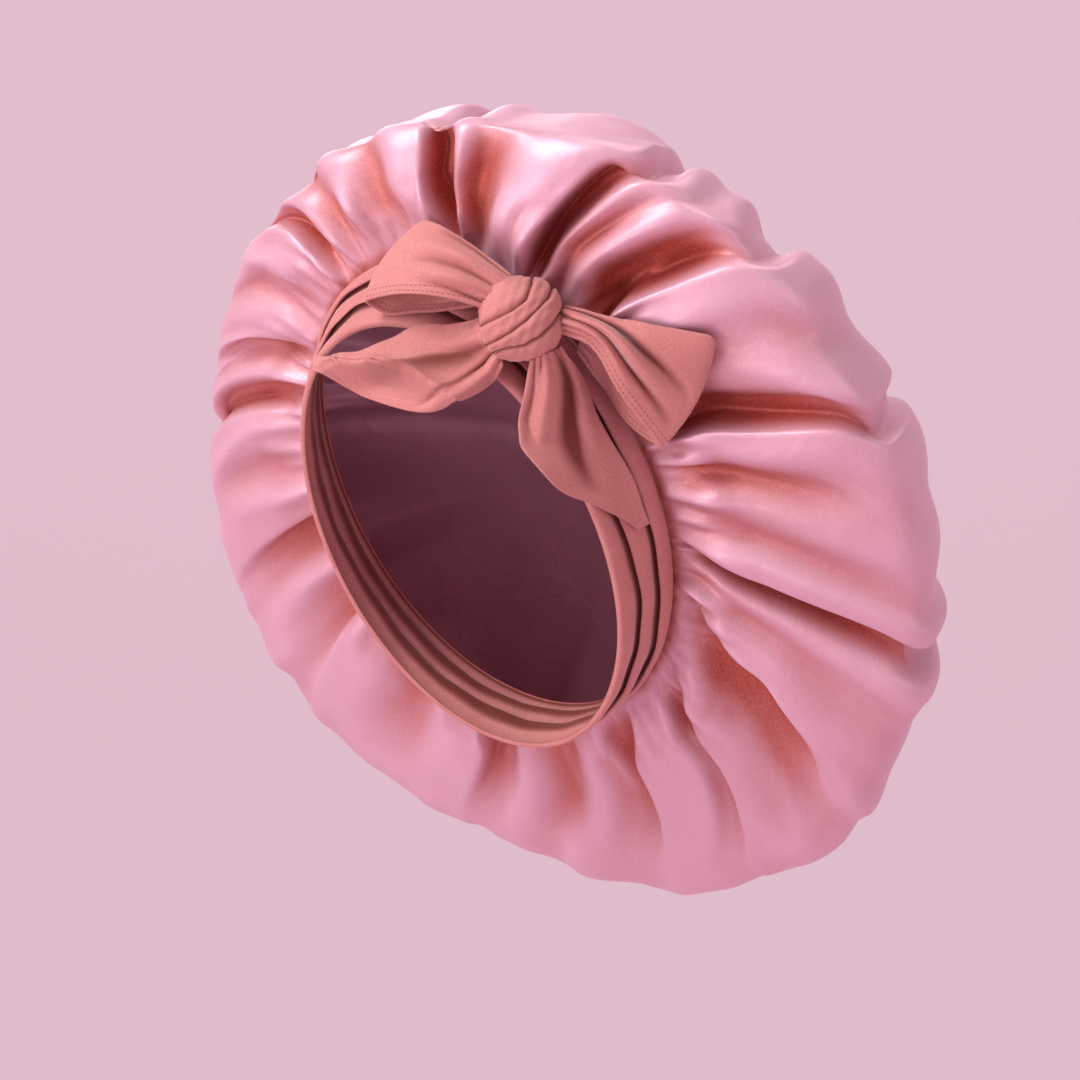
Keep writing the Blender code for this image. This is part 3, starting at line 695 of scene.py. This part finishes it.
def jersey_material(name, stitched):
    """Mottled matt jersey with a soft nap, painted shade where a piece carries it, and stitches where the piece
    has a hem.
    """
    made, tree, shader = new_material(name, Roughness=0.80, Sheen_Weight=0.45, Sheen_Roughness=0.40,
                                      Specular_IOR_Level=0.35)
    shader.inputs["Sheen Tint"].default_value = srgb(250, 215, 215)
    place = add_node(tree, "ShaderNodeTexCoord").outputs["Object"]
    fuzz = add_node(tree, "ShaderNodeTexNoise", Scale=1100.0, Detail=3.0)
    mottle = add_node(tree, "ShaderNodeTexNoise", Scale=60.0, Detail=2.0)
    for node in (fuzz, mottle):
        tree.links.new(place, node.inputs["Vector"])
    blend = math_node(tree, "MULTIPLY_ADD", mottle.outputs["Fac"], 0.35)
    tree.links.new(fuzz.outputs["Fac"], blend.node.inputs[2])
    colours = add_node(tree, "ShaderNodeValToRGB")
    colours.color_ramp.elements[0].position, colours.color_ramp.elements[0].color = 0.30, srgb(184, 110, 106)
    colours.color_ramp.elements[1].position, colours.color_ramp.elements[1].color = 1.00, srgb(208, 138, 134)
    tree.links.new(blend, colours.inputs["Fac"])
    nap = add_node(tree, "ShaderNodeBump", Strength=0.40, Distance=0.0004)
    tree.links.new(fuzz.outputs["Fac"], nap.inputs["Height"])
    # Painted shade: the colour turns dark brownish red in creases, under pleats and between the knot's wraps.
    shade = add_node(tree, "ShaderNodeMix", data_type="RGBA")
    shade.inputs["B"].default_value = srgb(118, 50, 42)
    depth = add_node(tree, "ShaderNodeAttribute", attribute_name="painted_shade")
    tree.links.new(depth.outputs["Fac"], shade.inputs["Factor"])
    tree.links.new(colours.outputs["Color"], shade.inputs["A"])
    colour, normal = shade.outputs["Result"], nap.outputs["Normal"]
    if stitched:
        mask = stitch_mask(tree)
        thread = add_node(tree, "ShaderNodeMix", data_type="RGBA")
        thread.inputs["B"].default_value = srgb(150, 80, 76)
        tree.links.new(mask, thread.inputs["Factor"])
        tree.links.new(colour, thread.inputs["A"])
        sunk = add_node(tree, "ShaderNodeBump", Strength=0.6, Distance=-0.0003)
        tree.links.new(mask, sunk.inputs["Height"])
        tree.links.new(normal, sunk.inputs["Normal"])
        colour, normal = thread.outputs["Result"], sunk.outputs["Normal"]
    tree.links.new(colour, shader.inputs["Base Color"])
    tree.links.new(normal, shader.inputs["Normal"])
    return made


plain_jersey = jersey_material("dusty_rose_jersey", stitched=False)
hemmed_jersey = jersey_material("dusty_rose_jersey_hemmed", stitched=True)
finish_cloth(band, "band", plain_jersey, BAND_WALL)

# %% [markdown]
# The bow has its own directions: right, up and forward as one faces it. Its knot is an egg wound with cloth:
# four flat wraps that run up to the right, each ending in a thin curved crease where it dives under the next.

# %% Where the bow sits
BOW_ANGLE, BOW_SEAT, BOW_LIFT = np.radians(52.0), 0.25, 0.0225
KNOT_SIZE, KNOT_DEPTH = 0.040, 0.0365
LOOP_LENGTH, TAIL_LENGTH = 0.080, 0.090
bow_axes = np.array([RIGHT, [0.0, 0.0, 1.0], LEVEL_BACK])
seat_taper = BAND_TAPER * BOW_SEAT
bow_seat = seam_to_world((SEAM_HALF_WIDTH - seat_taper) * np.cos(BOW_ANGLE),
                         (SEAM_HALF_LENGTH - seat_taper) * np.sin(BOW_ANGLE),
                         np.array(-BAND_WIDTH * BOW_SEAT))
bow_centre = bow_seat + bow_axes[2] * BOW_LIFT
print("knot centre", np.round(bow_centre, 4))

# %% The knot
WRAP_ALONG = np.array([-1.0, -0.75, -0.4, 0.0, 0.4, 0.75, 1.0])
WRAP_EDGES = np.array([
    # place of each crease across the wraps at the seven places along them, as shares of the knot's radius
    (-1.35, -1.25, -1.20, -1.20, -1.20, -1.25, -1.35),
    (-0.60, -0.52, -0.38, -0.25, -0.20, -0.38, -0.60),
    (-0.12, -0.02, 0.08, 0.14, 0.14, 0.12, 0.02),
    (0.10, 0.22, 0.50, 0.61, 0.62, 0.58, 0.48),
    (1.10, 1.15, 1.20, 1.20, 1.20, 1.20, 1.15),
])
CREASE_DEPTH, CREASE_SHARPNESS, OVERLAP = 0.0022, 7.0, 0.0011
KNOT_SQUARENESS, KNOT_WRINKLE = 2.35, 0.0003
KNOT_SHADE, KNOT_SHADE_SHARPNESS = 0.9, 1.5
KNOT_RINGS, KNOT_SEGMENTS = 150, 220


def knot_grid(rings, segments):
    """Superellipsoid by latitude and longitude, wound in flat wraps with a thin, well sunk crease between them,
    and painted shade in those creases.
    """
    latitude = np.linspace(-np.pi / 2, np.pi / 2, rings)[:, None]
    longitude = np.linspace(0, 2 * np.pi, segments, endpoint=False)[None, :]
    unit = np.stack([np.cos(latitude) * np.cos(longitude), np.sin(latitude) + 0 * longitude,
                     np.cos(latitude) * np.sin(longitude)], axis=-1)
    across = (unit[..., 0] - unit[..., 1]) / np.sqrt(2)
    along = (unit[..., 0] + unit[..., 1]) / np.sqrt(2)
    edges = np.array([np.interp(along, WRAP_ALONG, row) for row in WRAP_EDGES])
    wrap = np.clip((across > edges).sum(axis=0) - 1, 0, len(WRAP_EDGES) - 2)
    low, high = (np.take_along_axis(edges, (wrap + k)[None], axis=0)[0] for k in (0, 1))
    within = np.clip((across - low) / (high - low), 0, 1)
    dip = np.abs(2 * within - 1) ** CREASE_SHARPNESS
    squared = unit / (np.abs(unit) ** KNOT_SQUARENESS).sum(axis=-1, keepdims=True) ** (1 / KNOT_SQUARENESS)
    fine = KNOT_WRINKLE * np.sin(26 * across + 3 * along) * np.sin(9 * along + 1)
    rise = OVERLAP * (0.5 - within) - CREASE_DEPTH * dip + fine
    radii = np.array([KNOT_SIZE, KNOT_SIZE, KNOT_DEPTH]) / 2 - OVERLAP / 2
    points = bow_centre + (squared * radii + unit * rise[..., None]) @ bow_axes
    # The second value is painted shade, darkest at the bottom of each crease.
    return points, KNOT_SHADE * dip ** KNOT_SHADE_SHARPNESS


knot_points, knot_painted_shade = knot_grid(KNOT_RINGS, KNOT_SEGMENTS)
knot_root, knot_tip = knot_points[0].mean(axis=0), knot_points[-1].mean(axis=0)
knot = piece_from_grid("bow_knot_wraps", knot_points[1:-1], closed=True, tip=knot_tip, root=knot_root,
                       values={"painted_shade": knot_painted_shade[1:-1]})
knot.data.materials.append(plain_jersey)
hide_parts("bow_knot")
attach(knot, "root")

# %% [markdown]
# Loops and tails are strips of the same cloth. Each is a table of sections from the knot outward; a section
# has two edges and an arch, and a smooth curve runs through the sections. A loop's table goes out and comes
# back. Creases fan out from the knot: each is a groove or ridge from one place across the strip to another.
# Hems stand a little proud, because the cloth is double there.

# %% Strips
LOOP_LEFT = [
    # upper edge: right, up, forward; lower edge: right, up, forward; arch; all as shares of the length
    (-0.05, 0.24, 0.04, -0.21, 0.06, 0.06, 0.05),
    (-0.28, 0.42, -0.02, -0.44, 0.12, 0.08, 0.07),
    (-0.44, 0.52, -0.10, -0.68, 0.14, -0.02, 0.06),
    (-0.54, 0.56, -0.18, -0.87, 0.11, -0.22, 0.03),
    (-0.53, 0.55, -0.25, -0.86, 0.08, -0.31, -0.03),
    (-0.44, 0.51, -0.28, -0.72, 0.01, -0.32, -0.03),
    (-0.31, 0.45, -0.27, -0.56, 0.03, -0.26, -0.02),
    (-0.15, 0.32, -0.18, -0.27, 0.07, -0.14, 0.00),
]
LOOP_RIGHT = [
    (0.235, 0.07, 0.03, 0.23, -0.08, 0.05, 0.04),
    (0.49, 0.02, 0.12, 0.41, -0.17, 0.07, 0.06),
    (0.75, -0.04, 0.22, 0.56, -0.42, 0.02, 0.06),
    (1.05, -0.10, 0.26, 0.77, -0.69, -0.16, 0.03),
    (1.04, -0.12, 0.18, 0.77, -0.71, -0.24, -0.02),
    (0.80, -0.08, 0.15, 0.62, -0.60, -0.29, -0.02),
    (0.56, -0.03, 0.08, 0.46, -0.38, -0.28, -0.02),
    (0.36, 0.00, -0.02, 0.32, -0.18, -0.16, 0.00),
]
TAIL_LEFT = [
    (-0.17, 0.01, -0.02, -0.09, -0.23, 0.00, 0.04),
    (-0.37, -0.03, -0.16, -0.15, -0.33, -0.07, 0.05),
    (-0.52, -0.06, -0.23, -0.32, -0.44, -0.08, 0.05),
    (-0.64, -0.15, -0.26, -0.51, -0.47, -0.12, 0.04),
    (-0.78, -0.25, -0.36, -0.72, -0.42, -0.29, 0.02),
    (-0.90, -0.25, -0.50, -0.90, -0.35, -0.46, 0.01),
    (-0.97, -0.22, -0.70, -0.98, -0.25, -0.70, 0.00),
]
TAIL_RIGHT = [
    (0.20, -0.14, 0.03, 0.05, -0.21, 0.05, 0.03),
    (0.31, -0.30, -0.14, 0.01, -0.40, 0.00, 0.07),
    (0.39, -0.52, -0.24, -0.03, -0.57, -0.08, 0.07),
    (0.46, -0.68, -0.34, -0.01, -0.68, -0.09, 0.05),
    (0.53, -0.82, -0.43, 0.16, -0.86, -0.15, 0.03),
    (0.57, -0.93, -0.47, 0.36, -0.95, -0.29, 0.02),
    (0.60, -1.03, -0.51, 0.55, -1.06, -0.47, 0.00),
]


# %% Creases and hems of the strips
STRIP_CREASES = {
    # across at the knot, across at the end, height in mm, width across, begins, ends (shares of the strip)
    "loop_left": [(0.22, 0.30, 2.2, 0.10, 0.00, 0.42), (0.42, 0.50, -2.0, 0.09, 0.00, 0.36),
                  (0.66, 0.64, 1.6, 0.10, 0.00, 0.30), (0.86, 0.80, -1.2, 0.06, 0.00, 0.25),
                  (0.10, 0.05, -1.6, 0.06, 0.00, 0.30), (0.45, 0.50, 1.5, 0.15, 0.62, 1.00)],
    "loop_right": [(0.06, 0.58, -3.6, 0.07, 0.00, 0.46), (0.22, 0.72, 2.6, 0.07, 0.00, 0.42),
                   (0.36, 0.84, -3.4, 0.06, 0.00, 0.44), (0.55, 0.92, 1.6, 0.05, 0.00, 0.36),
                   (0.50, 0.45, 1.5, 0.15, 0.62, 1.00)],
    "tail_left": [(0.30, 0.20, 1.8, 0.12, 0.00, 0.75), (0.52, 0.45, -2.2, 0.12, 0.00, 0.70),
                  (0.66, 0.90, -2.2, 0.04, 0.00, 0.52), (0.78, 0.97, 2.4, 0.06, 0.00, 0.52)],
    "tail_right": [(0.15, 0.62, -3.6, 0.11, 0.00, 0.72), (0.50, 0.82, 1.8, 0.10, 0.00, 0.60),
                   (0.80, 0.95, -1.2, 0.06, 0.00, 0.50), (0.05, 0.25, 1.5, 0.08, 0.00, 0.80)],
}
CREASE_SCALE = 1.7
END_BULGE, END_SPAN, FULL_SHADE_CREASE_DEPTH = 0.0055, 0.16, 0.0038
GATHER_COUNT, GATHER_HEIGHT, GATHER_REACH = 5, 0.0009, 0.16
HEM_WIDTH, HEM_RISE = 0.0052, 0.00045


def crease_rise(rows, t, v):
    """Forward rise of the creases: height times a bell across that drifts along, times a half sine along."""
    total = 0 * t * v
    for start, end, high, wide, begins, ends in rows:
        along = np.clip((t - begins) / (ends - begins), 0, 1)
        bell = np.exp(-((v - start - (end - start) * along) / wide) ** 2)
        total = total + CREASE_SCALE * high / 1000 * bell * np.sin(np.pi * (0.12 + 0.88 * along)) ** 0.9
    return total


def gather_rise(t, v, both_ends):
    """Small even pleats where the strip is pressed into the knot, gone a short way out."""
    near = np.minimum(t, 1 - t) if both_ends else t
    return GATHER_HEIGHT * np.cos(2 * np.pi * GATHER_COUNT * v + 1.0) * smooth(1 - near / GATHER_REACH)


def strip_grid(name, sections, length, rows, columns, both_ends):
    """Straight between a section's two edges, plus arch, creases, gathers and hem.

    A loop also bulges outward where it turns. With the points come the distance from the hem, the length run
    along it, and the painted shade of each point, darker the further down it lies in a crease.
    """
    table = along_table(sections, rows) * length
    t = np.linspace(0.0, 1.0, rows)[:, None]
    v = np.linspace(0.0, 1.0, columns)[None, :]
    local = table[:, None, 0:3] * (1 - v[..., None]) + table[:, None, 3:6] * v[..., None]
    width = np.linalg.norm(table[:, 3:6] - table[:, 0:3], axis=1)[:, None]
    edge_steps = np.linalg.norm(np.diff(table[:, 3:6], axis=0), axis=1)
    run = np.concatenate([[0.0], np.cumsum(edge_steps)])[:, None] + 0 * v
    from_hem = (1 - v) * width if both_ends else np.minimum(1 - v, v) * width
    creases = crease_rise(STRIP_CREASES[name], t, v) + gather_rise(t, v, both_ends)
    rise = table[:, 6:7] * np.sin(np.pi * v) + creases
    if both_ends:
        outward = table[rows // 2, 0:3] + table[rows // 2, 3:6]
        bulge = END_BULGE * np.sin(np.pi * v) ** 0.7 * np.exp(-((t - 0.5) / END_SPAN) ** 2)
        local += bulge[..., None] * outward / np.linalg.norm(outward)
    facing = np.where(t < 0.5, 1.0, -1.0) if both_ends else 1.0
    local[:, :, 2] += rise + facing * HEM_RISE * (from_hem < HEM_WIDTH)
    # The last value is painted shade: darker the further down a point lies in a crease.
    return local, from_hem, run, np.clip(-creases / FULL_SHADE_CREASE_DEPTH, 0, 1)


# %% [markdown]
# The strips must not cut into the knot, the band or the crown. Simply moving each point out leaves steps, so
# the push is spread: every point takes at least its own push, and otherwise the mean of its neighbours',
# which gives a smooth tent over whatever lies below.

# %% Room for the strips
ROOM, BOW_REACH, NEAR_ENOUGH = 0.0014, 0.13, 0.025
KNOT_ROOM, KNOT_ROOM_REACH = 0.0009, 0.06
KNOT_TUCK, KNOT_TUCK_REACH = 0.0012, 0.04
SPREAD_ROUNDS, SPREAD_DECAY = (60, 30, 6), 0.985


def push_out_of_knot(local, t, both_ends):
    """Points inside the knot go straight out of it, except the first rows, which dive under its wraps."""
    near = np.minimum(t, 1 - t) if both_ends else t
    room = KNOT_ROOM * smooth(near / KNOT_ROOM_REACH) - KNOT_TUCK * smooth(1 - near / KNOT_TUCK_REACH)
    radii = np.array([KNOT_SIZE, KNOT_SIZE, KNOT_DEPTH]) / 2 + room[:, None, None]
    reach = np.linalg.norm(local / radii, axis=-1, keepdims=True)
    return np.where(reach < 1.0, local / np.maximum(reach, 0.001), local)


def spread(push, rounds):
    """Smooth a push over the grid without letting any point have less than it needs."""
    wide = push.copy()
    for _ in range(rounds):
        padded = np.pad(wide, 1, mode="edge")
        mean = (padded[:-2, 1:-1] + padded[2:, 1:-1] + padded[1:-1, :-2] + padded[1:-1, 2:]) / 4
        wide = np.maximum(push, mean * SPREAD_DECAY)
    return wide


def shortfall(points, surface, facing, room):
    """How much too near each point is to a surface's nearest point, and which way is out there."""
    short, out = np.zeros(points.shape[:2]), np.zeros_like(points)
    for k, row in enumerate(points):
        nearest = np.argmin(((row[:, None] - surface[None]) ** 2).sum(axis=-1), axis=1)
        gap = ((row - surface[nearest]) * facing[nearest]).sum(axis=-1)
        close = np.linalg.norm(row - surface[nearest], axis=-1) < NEAR_ENOUGH
        short[k], out[k] = np.where(close, np.maximum(room - gap, 0), 0), facing[nearest]
    return short, out


def make_room(points, surface, facing, room):
    """Push points out of a surface, smoothly, then twice more for what is left."""
    for rounds in SPREAD_ROUNDS:
        short, out = shortfall(points, surface, facing, room)
        if short.max() > 0:
            points = points + out * spread(short, rounds)[..., None]
    return points


def near_bow(points, facing):
    """Only what lies within reach of the bow, so that the search for nearest points stays short."""
    keep = np.linalg.norm(points - bow_centre, axis=-1) < BOW_REACH
    return points[keep], facing[keep]


# %% Smooth covers of band and crown
COVER_ROWS, COVER_LIFT, COVER_ROUNDS = 40, 1.1, 12

cover_share = np.linspace(1, 0, COVER_ROWS)[:, None]
band_cover = band_surface(cover_share, np.full_like(cover_share, COVER_LIFT), band_angle)
band_near = near_bow(band_cover, normals(band_cover))
eased_relief = relief
for _ in range(COVER_ROUNDS):
    neighbours = (np.roll(eased_relief, 1, axis=1) + np.roll(eased_relief, -1, axis=1)) / 2
    eased_relief = np.maximum(relief, neighbours)
crown_cover = bag_points + bag_out * eased_relief[..., None]
every_second = (slice(2, 56, 2), slice(None, None, 2))
crown_near = near_bow(crown_cover[every_second], bag_out[every_second])
print(len(band_near[0]), "points of the band and", len(crown_near[0]), "of the crown lie near the bow")


# %% The bow's loops and tails
STRIP_ROWS, STRIP_COLUMNS = 110, 44
LOOP_CUT, TAIL_CUT = (0.165, 0.032), (0.100, 0.034)


def make_strip(node, sections, length, cut, both_ends):
    """A loop or tail as thin hemmed cloth, clear of the knot, the band and the crown."""
    local, from_hem, run, crease_painted_shade = strip_grid(node, sections, length, STRIP_ROWS, STRIP_COLUMNS,
                                                   both_ends)
    world_points = bow_centre + push_out_of_knot(local, np.linspace(0, 1, STRIP_ROWS), both_ends) @ bow_axes
    world_points = make_room(world_points, *band_near, ROOM)
    world_points = make_room(world_points, *crown_near, ROOM)
    piece = piece_from_grid(node + "_cloth", world_points,
                            values={"from_hem": from_hem, "run": run, "painted_shade": crease_painted_shade})
    finish_cloth(piece, node, hemmed_jersey if both_ends else plain_jersey, JERSEY_WALL, offset=0.0)
    print(node, "area", round(cloth_area(world_points), 5), "cut", round(cut[0] * cut[1], 5))


make_strip("loop_left", LOOP_LEFT, LOOP_LENGTH, LOOP_CUT, both_ends=True)
make_strip("loop_right", LOOP_RIGHT, LOOP_LENGTH, LOOP_CUT, both_ends=True)
make_strip("tail_left", TAIL_LEFT, TAIL_LENGTH, TAIL_CUT, both_ends=False)
make_strip("tail_right", TAIL_RIGHT, TAIL_LENGTH, TAIL_CUT, both_ends=False)
